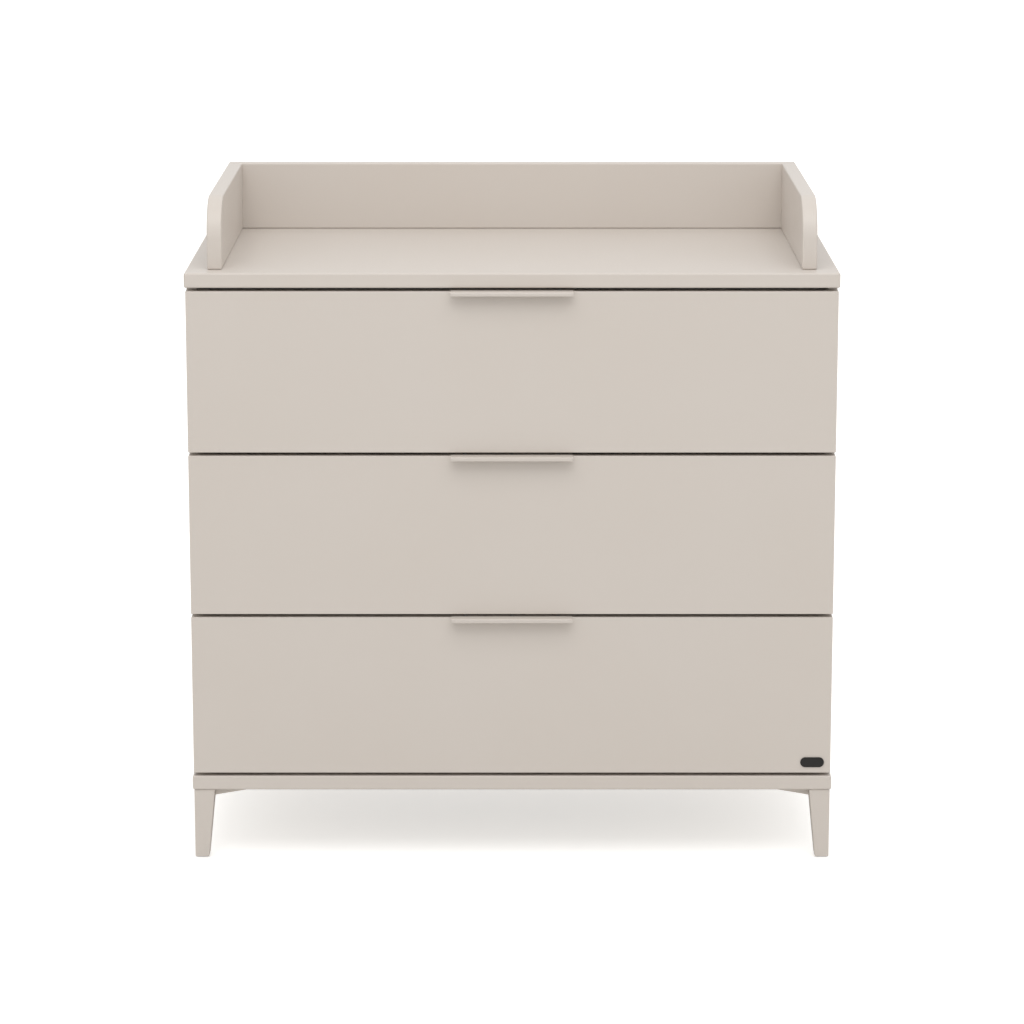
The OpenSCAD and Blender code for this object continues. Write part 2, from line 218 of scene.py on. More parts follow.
def arc(centre, radius, start, end, steps):
    """Points of an arc in a plane, angles in degrees."""
    turns = [math.radians(start + (end - start) * i / steps) for i in range(steps + 1)]
    return [(centre[0] + radius * math.cos(t), centre[1] + radius * math.sin(t)) for t in turns]


def folded(path, radius, thickness, steps=6):
    """The outline of a sheet bent along a path of flat points, with round inner bends."""
    middle = radius + thickness / 2
    line = [Vector(path[0])]
    for before, here, after in zip(path, path[1:], path[2:]):
        here, a, b = Vector(here), Vector(before), Vector(after)
        to_a, to_b = (a - here).normalized(), (b - here).normalized()
        half = math.acos(max(-1, min(1, to_a.dot(to_b)))) / 2
        centre = here + (to_a + to_b).normalized() * middle / math.sin(half)
        first = here + to_a * middle / math.tan(half) - centre
        last = here + to_b * middle / math.tan(half) - centre
        turn = first.angle_signed(last)
        for i in range(steps + 1):
            line.append(centre + Matrix.Rotation(-turn * i / steps, 2) @ first)
    line.append(Vector(path[-1]))
    out, back = [], []
    for i, p in enumerate(line):
        along = (line[min(i + 1, len(line) - 1)] - line[max(i - 1, 0)]).normalized()
        across = Vector((-along.y, along.x)) * thickness / 2
        out.append(p + across)
        back.append(p - across)
    return out + back[::-1]


def new_object(name, mesh):
    if isinstance(mesh, bmesh.types.BMesh):
        bm, mesh = mesh, bpy.data.meshes.new(name)
        bm.to_mesh(mesh)
        bm.free()
    obj = bpy.data.objects.new(name, mesh)
    bpy.context.scene.collection.objects.link(obj)
    return obj


def gathered(whole, obj):
    """Moves an object's mesh into a bmesh and removes the object."""
    whole.from_mesh(obj.data)
    bpy.data.objects.remove(obj)


def settle(obj):
    """Turns an object's modifiers into plain mesh and removes them."""
    graph = bpy.context.evaluated_depsgraph_get()
    mesh = bpy.data.meshes.new_from_object(obj.evaluated_get(graph))
    obj.modifiers.clear()
    obj.data = mesh
    mesh.name = obj.name
    return obj


def rounded(obj, radius, segments=3):
    """Rounds an object's sharp edges and evens out its shading."""
    bevel = obj.modifiers.new("Round", "BEVEL")
    bevel.width, bevel.segments = radius, segments
    bevel.limit_method, bevel.angle_limit = "ANGLE", math.radians(32)
    for polygon in obj.data.polygons:
        polygon.use_smooth = True
    even = obj.modifiers.new("Even", "WEIGHTED_NORMAL")
    even.weight = 100
    return settle(obj)


def drilled(obj, places, radius, depth):
    """Drills a hole at each (mouth, direction into the board)."""
    bm = bmesh.new()
    for mouth, into in places:
        turn = into.to_track_quat("Z", "Y").to_matrix().to_4x4()
        place = Matrix.Translation(mouth + into * (depth / 2 - 0.5 * MM)) @ turn
        bmesh.ops.create_cone(bm, cap_ends=True, segments=32, radius1=radius, radius2=radius,
                              depth=depth + MM, matrix=place)
    cutter = new_object("cutter", bm)
    cut = obj.modifiers.new("Drill", "BOOLEAN")
    cut.object, cut.solver = cutter, "EXACT"
    settle(obj)
    bpy.data.objects.remove(cutter)
    return obj


def placed(obj, body, slot, material, *nodes):
    """Gives a piece its material and its body, and hides the CAD nodes it stands for. The slot is not used.
    """
    obj.data.materials.clear()
    obj.data.materials.append(material)
    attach(obj, body)
    if nodes:
        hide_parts(*nodes)
    return obj


def board(node, body, slot, material, radius):
    """A board with round edges in place of a CAD node."""
    obj = rounded(new_object("piece_" + node, hull(sum(solids(node), []))), radius)
    return placed(obj, body, slot, material, node)


def rounded_group(node, body, slot, material, radius):
    """Every solid of a CAD node with round edges, as one piece."""
    whole = bmesh.new()
    for points in solids(node):
        gathered(whole, rounded(new_object("solid", hull(points)), radius))
    return placed(new_object("piece_" + node, whole), body, slot, material, node)


# ---- surfaces ----


def add(tree, kind, inputs=None, **values):
    """Adds a node: its settings, and its inputs as plain values or as other nodes' outputs."""
    made = tree.nodes.new(kind)
    for name, value in values.items():
        setattr(made, name, value)
    for key, value in (inputs or {}).items():
        if isinstance(value, bpy.types.NodeSocket):
            tree.links.new(value, made.inputs[key])
        else:
            made.inputs[key].default_value = value
    return made


def surface(name, roughness, **shader):
    """An empty material with its shader, its node tree and the place on the object."""
    material = bpy.data.materials.get(name)
    if material:
        return material, None, None, None
    material = bpy.data.materials.new(name)
    material.use_nodes = True
    tree = material.node_tree
    tree.nodes.clear()
    place = add(tree, "ShaderNodeTexCoord").outputs["Object"]
    inputs = {"Roughness": roughness, **{k.replace("_", " "): v for k, v in shader.items()}}
    bsdf = add(tree, "ShaderNodeBsdfPrincipled", inputs)
    add(tree, "ShaderNodeOutputMaterial", {"Surface": bsdf.outputs[0]})
    return material, tree, bsdf, place


def tinted(tone, factor=1.0):
    """A tone as RGBA, made darker or lighter by a factor."""
    return (*(c * factor for c in tone), 1)


def noise_scale(width_mm):
    """The scale at which a noise draws marks about this many millimetres wide."""
    return 1 / (width_mm * MM)


def wave_scale(pitch_mm):
    """The scale at which a wave draws bands this many millimetres apart."""
    return math.pi / 10 / (pitch_mm * MM)


def satin_lacquer():
    """Sprayed satin lacquer on fibreboard: even colour, soft sheen and a faint orange peel."""
    finish = bpy.context.scene.table_finish
    material, tree, bsdf, place = surface("satin_lacquer_sprayed", 0.36, IOR=1.36)
    if tree is None:
        return material
    r, g, b = finish.lacquer
    warm = (r * 0.985, g * 0.978, b * 0.968, 1)
    # Slow drift of tone from one spray pass to the next, about a quarter of a metre wide.
    drift = add(tree, "ShaderNodeTexNoise", {"Vector": place, "Scale": noise_scale(250), "Detail": 2.0})
    shade = add(tree, "ShaderNodeMapRange", {"Value": drift.outputs[0], 1: 0.35, 2: 0.7, 3: 0.0, 4: 0.6})
    mix = add(tree, "ShaderNodeMix", {0: shade.outputs[0], 6: (r, g, b, 1), 7: warm}, data_type="RGBA")
    tree.links.new(mix.outputs[2], bsdf.inputs["Base Color"])
    # Real peel is about 1 mm; it is drawn 3 mm wide so that it shows at all.
    peel = add(tree, "ShaderNodeTexNoise", {"Vector": place, "Scale": noise_scale(3), "Detail": 3.0,
                                            "Roughness": 0.55})
    gloss = add(tree, "ShaderNodeMapRange", {"Value": peel.outputs[0], 1: 0.3, 2: 0.7, 3: 0.32, 4: 0.4})
    tree.links.new(gloss.outputs[0], bsdf.inputs["Roughness"])
    bump = add(tree, "ShaderNodeBump", {"Height": peel.outputs[0], "Strength": 0.12, "Distance": 0.2 * MM})
    tree.links.new(bump.outputs[0], bsdf.inputs["Normal"])
    return material


def powder_coat():
    """Powder coat on folded steel, in the lacquer's colour, a little rougher than it."""
    finish = bpy.context.scene.table_finish
    material, tree, bsdf, place = surface("powder_coat_steel", 0.5, IOR=1.5)
    if tree is None:
        return material
    # Powder melts into pebbles about 0.8 mm wide, drawn at 1.6 mm.
    pebble = add(tree, "ShaderNodeTexNoise", {"Vector": place, "Scale": noise_scale(1.6), "Detail": 2.0})
    r, g, b = finish.lacquer
    dark = (r * 0.93, g * 0.92, b * 0.91, 1)
    mix = add(tree, "ShaderNodeMix", {0: pebble.outputs[0], 6: (r, g, b, 1), 7: dark}, data_type="RGBA")
    tree.links.new(mix.outputs[2], bsdf.inputs["Base Color"])
    bump = add(tree, "ShaderNodeBump", {"Height": pebble.outputs[0], "Strength": 0.1, "Distance": 0.15 * MM})
    tree.links.new(bump.outputs[0], bsdf.inputs["Normal"])
    return material


def melamine():
    """Melamine-faced board: a fine pressed linen in an even warm white."""
    finish = bpy.context.scene.table_finish
    material, tree, bsdf, place = surface("melamine_board_pressed", 0.45, IOR=1.5)
    if tree is None:
        return material
    # Threads of the pressed linen are 0.6 mm apart, drawn 5 mm apart so that they show.
    threads = []
    for direction in ("X", "Y", "Z"):
        wave = add(tree, "ShaderNodeTexWave", {"Vector": place, "Scale": wave_scale(5), "Distortion": 1.5,
                                               "Detail": 2.0, "Detail Scale": 6.0}, bands_direction=direction)
        threads.append(wave.outputs[1])
    two = add(tree, "ShaderNodeMath", {0: threads[0], 1: threads[1]}, operation="MULTIPLY")
    cloth = add(tree, "ShaderNodeMath", {0: two.outputs[0], 1: threads[2]}, operation="ADD")
    # The print under the melamine is a little cloudy, in patches about 70 mm wide.
    cloud = add(tree, "ShaderNodeTexNoise", {"Vector": place, "Scale": noise_scale(70), "Detail": 4.0})
    tone = add(tree, "ShaderNodeMapRange", {"Value": cloud.outputs[0], 1: 0.3, 2: 0.7, 3: 0.0, 4: 1.0})
    mix = add(tree, "ShaderNodeMix", {0: tone.outputs[0], 6: tinted(finish.melamine),
                                      7: tinted(finish.melamine, 0.955)}, data_type="RGBA")
    tree.links.new(mix.outputs[2], bsdf.inputs["Base Color"])
    bump = add(tree, "ShaderNodeBump", {"Height": cloth.outputs[0], "Strength": 0.1, "Distance": 0.1 * MM})
    tree.links.new(bump.outputs[0], bsdf.inputs["Normal"])
    return material


def hardboard():
    """Bare wet-pressed hardboard: brown, mottled, with short dark fibres lying level."""
    finish = bpy.context.scene.table_finish
    material, tree, bsdf, place = surface("hardboard_pressed", 0.68, IOR=1.5)
    if tree is None:
        return material
    # Pressing leaves darker patches about 40 mm wide.
    mottle = add(tree, "ShaderNodeTexNoise", {"Vector": place, "Scale": noise_scale(40), "Detail": 6.0,
                                              "Roughness": 0.62})
    mix = add(tree, "ShaderNodeMix", {0: mottle.outputs[0], 6: tinted(finish.hardboard, 1.12),
                                      7: tinted(finish.hardboard, 0.84)}, data_type="RGBA")
    # Fibres are about 1 mm long and 0.1 mm wide, drawn about 6 mm by 1.5 mm.
    along, across = noise_scale(6), noise_scale(1.5)
    stretch = add(tree, "ShaderNodeMapping", {"Vector": place, "Scale": (along, along, across)})
    fibre = add(tree, "ShaderNodeTexNoise", {"Vector": stretch.outputs[0], "Scale": 1.0, "Detail": 2.0,
                                             "Distortion": 1.4})
    dark = add(tree, "ShaderNodeMapRange", {"Value": fibre.outputs[0], 1: 0.62, 2: 0.72, 3: 0.0, 4: 0.5})
    tint = add(tree, "ShaderNodeMix", {0: dark.outputs[0], 6: mix.outputs[2],
                                       7: tinted(finish.hardboard, 0.5)}, data_type="RGBA")
    tree.links.new(tint.outputs[2], bsdf.inputs["Base Color"])
    bump = add(tree, "ShaderNodeBump", {"Height": fibre.outputs[0], "Strength": 0.25, "Distance": 0.15 * MM})
    tree.links.new(bump.outputs[0], bsdf.inputs["Normal"])
    return material


def metal(name, tone, roughness, streak):
    """A metal with streaks in its gloss and tone, as wide along X, Y and Z as streak says, in millimetres."""
    material, tree, bsdf, place = surface(name, roughness, Metallic=1.0)
    if tree is None:
        return material
    lengthwise = add(tree, "ShaderNodeMapping", {"Vector": place, "Scale": [noise_scale(w) for w in streak]})
    line = add(tree, "ShaderNodeTexNoise", {"Vector": lengthwise.outputs[0], "Scale": 1.0, "Detail": 3.0})
    gloss = add(tree, "ShaderNodeMapRange", {"Value": line.outputs[0], 1: 0.3, 2: 0.7, 3: roughness - 0.07,
                                             4: roughness + 0.09})
    tree.links.new(gloss.outputs[0], bsdf.inputs["Roughness"])
    mix = add(tree, "ShaderNodeMix", {0: line.outputs[0], 6: tinted(tone), 7: tinted(tone, 0.82)},
              data_type="RGBA")
    tree.links.new(mix.outputs[2], bsdf.inputs["Base Color"])
    bump = add(tree, "ShaderNodeBump", {"Height": line.outputs[0], "Strength": 0.08, "Distance": 0.05 * MM})
    tree.links.new(bump.outputs[0], bsdf.inputs["Normal"])
    return material


def zinc_plate():
    """Bright zinc on rolled steel: drawing lines run along the runner, 1 mm apart."""
    return metal("zinc_plate_rolled", bpy.context.scene.table_finish.zinc, 0.3, (1, 80, 1))


def zinc_screw():
    """Bright zinc on headed steel: clouds about 2.4 mm wide, even in every direction."""
    return metal("zinc_plate_headed", bpy.context.scene.table_finish.zinc, 0.34, (2.4, 2.4, 2.4))


def die_cast():
    """Die-cast zinc: dull grey with a grain of about 2 mm."""
    return metal("zinc_die_cast", bpy.context.scene.table_finish.die_cast, 0.46, (2, 2, 2))


def beech():
    """Turned beech: pale, with short flecks along the dowel."""
    finish = bpy.context.scene.table_finish
    material, tree, bsdf, place = surface("beech_turned", 0.6, IOR=1.5)
    if tree is None:
        return material
    # Flecks are 1.1 mm wide and 9 mm long.
    across, lengthwise = noise_scale(1.1), noise_scale(9)
    along = add(tree, "ShaderNodeMapping", {"Vector": place, "Scale": (across, across, lengthwise)})
    fleck = add(tree, "ShaderNodeTexNoise", {"Vector": along.outputs[0], "Scale": 1.0, "Detail": 3.0})
    mix = add(tree, "ShaderNodeMix", {0: fleck.outputs[0], 6: tinted(finish.beech),
                                      7: tinted(finish.beech, 0.7)}, data_type="RGBA")
    tree.links.new(mix.outputs[2], bsdf.inputs["Base Color"])
    return material


def moulded(name, tone, roughness, grain):
    """Moulded plastic with a fine spark-eroded grain, drawn as many millimetres wide as grain says."""
    material, tree, bsdf, place = surface(name, roughness, IOR=1.46)
    if tree is None:
        return material
    speck = add(tree, "ShaderNodeTexNoise", {"Vector": place, "Scale": noise_scale(grain), "Detail": 2.0})
    mix = add(tree, "ShaderNodeMix", {0: speck.outputs[0], 6: tinted(tone), 7: tinted(tone, 0.82)},
              data_type="RGBA")
    tree.links.new(mix.outputs[2], bsdf.inputs["Base Color"])
    bump = add(tree, "ShaderNodeBump", {"Height": speck.outputs[0], "Strength": 0.15, "Distance": 0.08 * MM})
    tree.links.new(bump.outputs[0], bsdf.inputs["Normal"])
    return material


# ---- geometry node trees ----


def node_group(name, sockets):
    """An empty geometry tree with named inputs, given as {name: (socket type, default)}."""
    tree = bpy.data.node_groups.get(name)
    if tree:
        return tree, None, None
    tree = bpy.data.node_groups.new(name, "GeometryNodeTree")
    tree.interface.new_socket("Geometry", in_out="INPUT", socket_type="NodeSocketGeometry")
    for label, (kind, default) in sockets.items():
        socket = tree.interface.new_socket(label, in_out="INPUT", socket_type=kind)
        if default is not None:
            socket.default_value = default
    tree.interface.new_socket("Geometry", in_out="OUTPUT", socket_type="NodeSocketGeometry")
    return tree, add(tree, "NodeGroupInput").outputs, add(tree, "NodeGroupOutput").inputs


def finish_tree(tree, instances, inputs, outputs):
    """Ends a tree: real meshes with their material."""
    real = add(tree, "GeometryNodeRealizeInstances", {"Geometry": instances})
    dyed = add(tree, "GeometryNodeSetMaterial", {"Geometry": real.outputs[0], "Material": inputs["Material"]})
    tree.links.new(dyed.outputs[0], outputs[0])


def facing(tree, inputs):
    """The turn that points +Z along each point's axis attribute, with a random spin about it."""
    axis = add(tree, "GeometryNodeInputNamedAttribute", {"Name": "axis"}, data_type="FLOAT_VECTOR")
    aimed = add(tree, "FunctionNodeAlignRotationToVector", {"Vector": axis.outputs[0]}, axis="Z")
    spin = add(tree, "FunctionNodeRandomValue", {2: 0.0, 3: math.pi, "Seed": inputs["Seed"]},
               data_type="FLOAT")
    about = add(tree, "ShaderNodeCombineXYZ", {"Z": spin.outputs[1]})
    turn = add(tree, "FunctionNodeEulerToRotation", {0: about.outputs[0]})
    both = add(tree, "FunctionNodeRotateRotation", {0: aimed.outputs[0], 1: turn.outputs[0]},
               rotation_space="LOCAL")
    return both.outputs[0]


def screw_tree():
    """Screws with a bevelled head and a cross recess, one on each point, head towards the axis attribute."""
    tree, inputs, outputs = node_group("Screws", {
        "Head Radius": ("NodeSocketFloat", 0.0034),
        "Head Height": ("NodeSocketFloat", 0.001),
        "Shank Radius": ("NodeSocketFloat", 0.0017),
        "Length": ("NodeSocketFloat", 0.013),
        "Recess Width": ("NodeSocketFloat", 0.0009),
        "Seed": ("NodeSocketInt", 0),
        "Material": ("NodeSocketMaterial", None),
    })
    if inputs is None:
        return tree
    radius, height = inputs["Head Radius"], inputs["Head Height"]
    crown = add(tree, "ShaderNodeMath", {0: radius, 1: 0.78}, operation="MULTIPLY").outputs[0]
    step = add(tree, "ShaderNodeMath", {0: height, 1: 0.5}, operation="MULTIPLY").outputs[0]
    lower = add(tree, "GeometryNodeMeshCylinder", {"Vertices": 28, "Radius": radius, "Depth": step})
    upper = add(tree, "GeometryNodeMeshCone", {"Vertices": 28, "Radius Top": crown, "Radius Bottom": radius,
                                               "Depth": step})
    # The head's top is at z = 0 and everything else hangs below it.
    down = add(tree, "ShaderNodeMath", {0: height, 1: -0.75}, operation="MULTIPLY").outputs[0]
    lower_at = add(tree, "ShaderNodeCombineXYZ", {"Z": down})
    low = add(tree, "GeometryNodeTransform", {"Geometry": lower.outputs[0],
                                              "Translation": lower_at.outputs[0]})
    up_by = add(tree, "ShaderNodeMath", {0: step, 1: -1.0}, operation="MULTIPLY").outputs[0]
    upper_at = add(tree, "ShaderNodeCombineXYZ", {"Z": up_by})
    high = add(tree, "GeometryNodeTransform", {"Geometry": upper.outputs[0],
                                               "Translation": upper_at.outputs[0]})
    head = add(tree, "GeometryNodeMeshBoolean", operation="UNION", solver="EXACT")
    tree.links.new(low.outputs[0], head.inputs["Mesh 2"])
    tree.links.new(high.outputs[0], head.inputs["Mesh 2"])
    # Two crossed blades cut the recess.
    blade_length = add(tree, "ShaderNodeMath", {0: radius, 1: 1.15}, operation="MULTIPLY").outputs[0]
    width = inputs["Recess Width"]
    recess = add(tree, "GeometryNodeMeshBoolean", {"Mesh 1": head.outputs[0]}, operation="DIFFERENCE",
                 solver="EXACT")
    for x, y in ((blade_length, width), (width, blade_length)):
        size = add(tree, "ShaderNodeCombineXYZ", {"X": x, "Y": y, "Z": height})
        blade = add(tree, "GeometryNodeMeshCube", {"Size": size.outputs[0]})
        tree.links.new(blade.outputs[0], recess.inputs["Mesh 2"])
    # The shank runs from under the head to the tip.
    rest = add(tree, "ShaderNodeMath", {0: inputs["Length"], 1: height}, operation="SUBTRACT").outputs[0]
    shank = add(tree, "GeometryNodeMeshCylinder", {"Vertices": 16, "Radius": inputs["Shank Radius"],
                                                   "Depth": rest})
    total = add(tree, "ShaderNodeMath", {0: inputs["Length"], 1: height}, operation="ADD").outputs[0]
    centre = add(tree, "ShaderNodeMath", {0: total, 1: -0.5}, operation="MULTIPLY").outputs[0]
    shank_at = add(tree, "ShaderNodeCombineXYZ", {"Z": centre})
    body = add(tree, "GeometryNodeTransform", {"Geometry": shank.outputs[0],
                                               "Translation": shank_at.outputs[0]})
    whole = add(tree, "GeometryNodeJoinGeometry")
    tree.links.new(recess.outputs[0], whole.inputs[0])
    tree.links.new(body.outputs[0], whole.inputs[0])
    on_points = add(tree, "GeometryNodeInstanceOnPoints", {"Points": inputs["Geometry"],
                                                           "Instance": whole.outputs[0],
                                                           "Rotation": facing(tree, inputs)})
    finish_tree(tree, on_points.outputs[0], inputs, outputs)
    return tree


def ball_tree():
    """A row of balls, one on each point of a line."""
    tree, inputs, outputs = node_group("Balls", {
        "Radius": ("NodeSocketFloat", 0.0015),
        "Pitch": ("NodeSocketFloat", 0.0125),
        "Material": ("NodeSocketMaterial", None),
    })
    if inputs is None:
        return tree
    line = add(tree, "GeometryNodeMeshToCurve", {0: inputs["Geometry"]})
    spaced = add(tree, "GeometryNodeResampleCurve", {"Curve": line.outputs[0], "Length": inputs["Pitch"]},
                 mode="LENGTH")
    ball = add(tree, "GeometryNodeMeshIcoSphere", {"Radius": inputs["Radius"], "Subdivisions": 2})
    smooth = add(tree, "GeometryNodeSetShadeSmooth", {"Geometry": ball.outputs[0]})
    on_points = add(tree, "GeometryNodeInstanceOnPoints", {"Points": spaced.outputs[0],
                                                           "Instance": smooth.outputs[0]})
    finish_tree(tree, on_points.outputs[0], inputs, outputs)
    return tree


def bumper_tree():
    """Soft domed bumpers, one on each point, dome towards the axis attribute."""
    tree, inputs, outputs = node_group("Bumpers", {
        "Radius": ("NodeSocketFloat", 0.004),
        "Height": ("NodeSocketFloat", 0.0018),
        "Seed": ("NodeSocketInt", 0),
        "Material": ("NodeSocketMaterial", None),
    })
    if inputs is None:
        return tree
    ball = add(tree, "GeometryNodeMeshUVSphere", {"Segments": 24, "Rings": 16, "Radius": 1.0})
    height = inputs["Height"]
    squash = add(tree, "ShaderNodeCombineXYZ", {"X": inputs["Radius"], "Y": inputs["Radius"], "Z": height})
    dome = add(tree, "GeometryNodeTransform", {"Geometry": ball.outputs[0], "Scale": squash.outputs[0]})
    smooth = add(tree, "GeometryNodeSetShadeSmooth", {"Geometry": dome.outputs[0]})
    on_points = add(tree, "GeometryNodeInstanceOnPoints", {"Points": inputs["Geometry"],
                                                           "Instance": smooth.outputs[0],
                                                           "Rotation": facing(tree, inputs)})
    finish_tree(tree, on_points.outputs[0], inputs, outputs)
    return tree


def grown(name, tree, places, values):
    """Runs a geometry tree on some points, each (place, axis), and keeps its plain mesh."""
    mesh = bpy.data.meshes.new(name)
    mesh.from_pydata([p for p, _ in places], [], [])
    axis = mesh.attributes.new("axis", "FLOAT_VECTOR", "POINT")
    for item, (_, direction) in zip(axis.data, places):
        item.vector = direction
    return run_tree(new_object(name, mesh), tree, values)


def run_tree(obj, tree, values):
    modifier = obj.modifiers.new("Grow", "NODES")
    modifier.node_group = tree
    sockets = {s.name: s.identifier for s in tree.interface.items_tree if s.in_out == "INPUT"}
    for label, value in values.items():
        modifier[sockets[label]] = value
    settle(obj)
    for attribute in [a.name for a in obj.data.attributes if a.name == "axis"]:
        obj.data.attributes.remove(obj.data.attributes[attribute])
    return obj


# ---- fasteners, read from the frame ----


def fastener(points):
    """A screw's (head top, outward axis, head radius, head height, shank radius, length)."""
    low, high = span(points)
    size = high - low
    main = max(range(3), key=lambda i: size[i])
    centre = (low + high) / 2
    others = [i for i in range(3) if i != main]

    def spread(p):
        return math.hypot(*(p[i] - centre[i] for i in others))

    head_radius = max(spread(p) for p in points)
    heads = [p[main] for p in points if spread(p) > head_radius * 0.98]
    outward = 1 if sum(heads) / len(heads) > centre[main] else -1
    top = high[main] if outward > 0 else low[main]
    shank_radius = min(spread(p) for p in points if spread(p) > 0.2 * MM)
    head_top = centre.copy()
    head_top[main] = top
    axis = Vector([outward if i == main else 0 for i in range(3)])
    return head_top, axis, head_radius, max(heads) - min(heads), shank_radius, size[main]


def screws(node, body, slot, material, seed):
    """All the screws of a CAD node, as one piece."""
    sizes = {}
    for points in solids(node):
        place, axis, *size = fastener(points)
        sizes.setdefault(tuple(round(s, 5) for s in size), []).append((place, axis))
    whole = bmesh.new()
    recess_share = 0.26
    for (head_radius, head_height, shank_radius, total), places in sorted(sizes.items()):
        part = grown("screws", screw_tree(), places, {
            "Head Radius": head_radius,
            "Head Height": head_height,
            "Shank Radius": shank_radius,
            "Length": total,
            "Recess Width": head_radius * recess_share,
            "Seed": seed,
            "Material": material,
        })
        gathered(whole, part)
    obj = new_object("piece_" + node, whole)
    return placed(obj, body, slot, material, node)


# ---- operators ----


class TABLE_OT_panels(bpy.types.Operator):
    """Top panel, bottom panel and the two side panels"""

    bl_idname = "table.panels"
    bl_label = "Panels"

    def execute(self, context):
        sizes = context.scene.table_sizes
        for node in ("top_panel", "bottom_panel"):
            board(node, "carcass", "lacquered_mdf", satin_lacquer(), sizes.panel_edge)
        for side in SIDES:
            panel = board("side_panel_" + side, "carcass", "lacquered_mdf", satin_lacquer(), sizes.box_edge)
            inward = 1 if side == "left" else -1
            cams = []
            for points in solids("cam_locks"):
                low, high = span(points)
                if low.x * inward < 0:
                    inner = high.x if inward > 0 else low.x
                    cams.append((Vector((inner, (low.y + high.y) / 2, (low.z + high.z) / 2)),
                                 Vector((-inward, 0, 0)), (high.y - low.y) / 2))
            drilled(panel, [c[:2] for c in cams], cams[0][2] + sizes.bore_play, sizes.cam_bore)
        return {"FINISHED"}


class TABLE_OT_back(bpy.types.Operator):
    """Hardboard back and the stretchers under the top"""

    bl_idname = "table.back"
    bl_label = "Back and stretchers"

    def execute(self, context):
        sizes = context.scene.table_sizes
        board("back_panel", "carcass", "back_hardboard", hardboard(), sizes.thin_edge)
        for node in ("front_stretcher", "rear_stretcher"):
            board(node, "carcass", "drawer_board", melamine(), sizes.box_edge)
        return {"FINISHED"}


class TABLE_OT_rails(bpy.types.Operator):
    """Back rail and the two side rails with their round front corners"""

    bl_idname = "table.rails"
    bl_label = "Rails"

    def execute(self, context):
        sizes = context.scene.table_sizes
        back = board("rail_back", "carcass", "lacquered_mdf", satin_lacquer(), sizes.rail_edge)
        back_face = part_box("rail_back")[1].y
        places = []
        for points in solids("rail_screws"):
            head, axis, radius, *_ = fastener(points)
            if axis.y > 0.5:
                places.append((Vector((head.x, back_face, head.z)), -axis))
        drilled(back, places, radius + sizes.bore_play, sizes.counterbore)
        r = sizes.rail_corner
        for side in SIDES:
            low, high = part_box("rail_" + side)
            outline = [(low.y, low.z), *arc((low.y + r, high.z - r), r, 180, 90, 24), (high.y, high.z),
                       (high.y, low.z)]
            shape = extruded([(0, y, z) for y, z in outline], Vector((low.x, 0, 0)), Vector((high.x, 0, 0)))
            rail = rounded(new_object("piece_rail_" + side, shape), sizes.rail_edge)
            placed(rail, "carcass", "lacquered_mdf", satin_lacquer(), "rail_" + side)
        return {"FINISHED"}


class TABLE_OT_legs(bpy.types.Operator):
    """Tapered legs, their corner wings and their glides"""

    bl_idname = "table.legs"
    bl_label = "Legs"

    def execute(self, context):
        finish = context.scene.table_finish
        sizes = context.scene.table_sizes
        for corner in CORNERS:
            board("leg_" + corner, "carcass", "lacquered_mdf", satin_lacquer(), sizes.leg_edge)
        rounded_group("corner_blocks", "carcass", "lacquered_mdf", satin_lacquer(), sizes.box_edge)
        plastic = moulded("polyethylene_glide_moulded", finish.glide, 0.55, 1.5)
        rounded_group("leg_glides", "carcass", "glide_plastic", plastic, sizes.glide_edge)
        return {"FINISHED"}


class TABLE_OT_fronts(bpy.types.Operator):
    """The three drawer fronts"""

    bl_idname = "table.fronts"
    bl_label = "Drawer fronts"

    def execute(self, context):
        sizes = context.scene.table_sizes
        for level in LEVELS:
            board("drawer_front_" + level, "drawer_" + level, "lacquered_mdf", satin_lacquer(),
                  sizes.front_edge)
        return {"FINISHED"}


class TABLE_OT_boxes(bpy.types.Operator):
    """The boards of the three drawer boxes"""

    bl_idname = "table.boxes"
    bl_label = "Drawer boxes"

    def execute(self, context):
        sizes = context.scene.table_sizes
        for level in LEVELS:
            for part in ("box_left", "box_right", "box_inner_front", "box_back"):
                board(f"{part}_{level}", "drawer_" + level, "drawer_board", melamine(), sizes.box_edge)
            board("box_floor_" + level, "drawer_" + level, "drawer_floor_board", melamine(),
                  sizes.thin_edge)
        return {"FINISHED"}


class TABLE_OT_handles(bpy.types.Operator):
    """Folded sheet handles on the drawer fronts' top edges"""

    bl_idname = "table.handles"
    bl_label = "Handles"

    def execute(self, context):
        sizes = context.scene.table_sizes
        half = sizes.sheet / 2
        for level in LEVELS:
            low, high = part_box("handle_" + level)
            path = [(high.y, high.z - half), (low.y + half, high.z - half), (low.y + half, low.z)]
            outline = folded(path, sizes.bend, sizes.sheet)
            shape = extruded([(0, y, z) for y, z in outline], Vector((low.x, 0, 0)), Vector((high.x, 0, 0)))
            handle = rounded(new_object("piece_handle_" + level, shape), sizes.handle_edge, 2)
            placed(handle, "drawer_" + level, "lacquered_steel", powder_coat(), "handle_" + level)
        return {"FINISHED"}


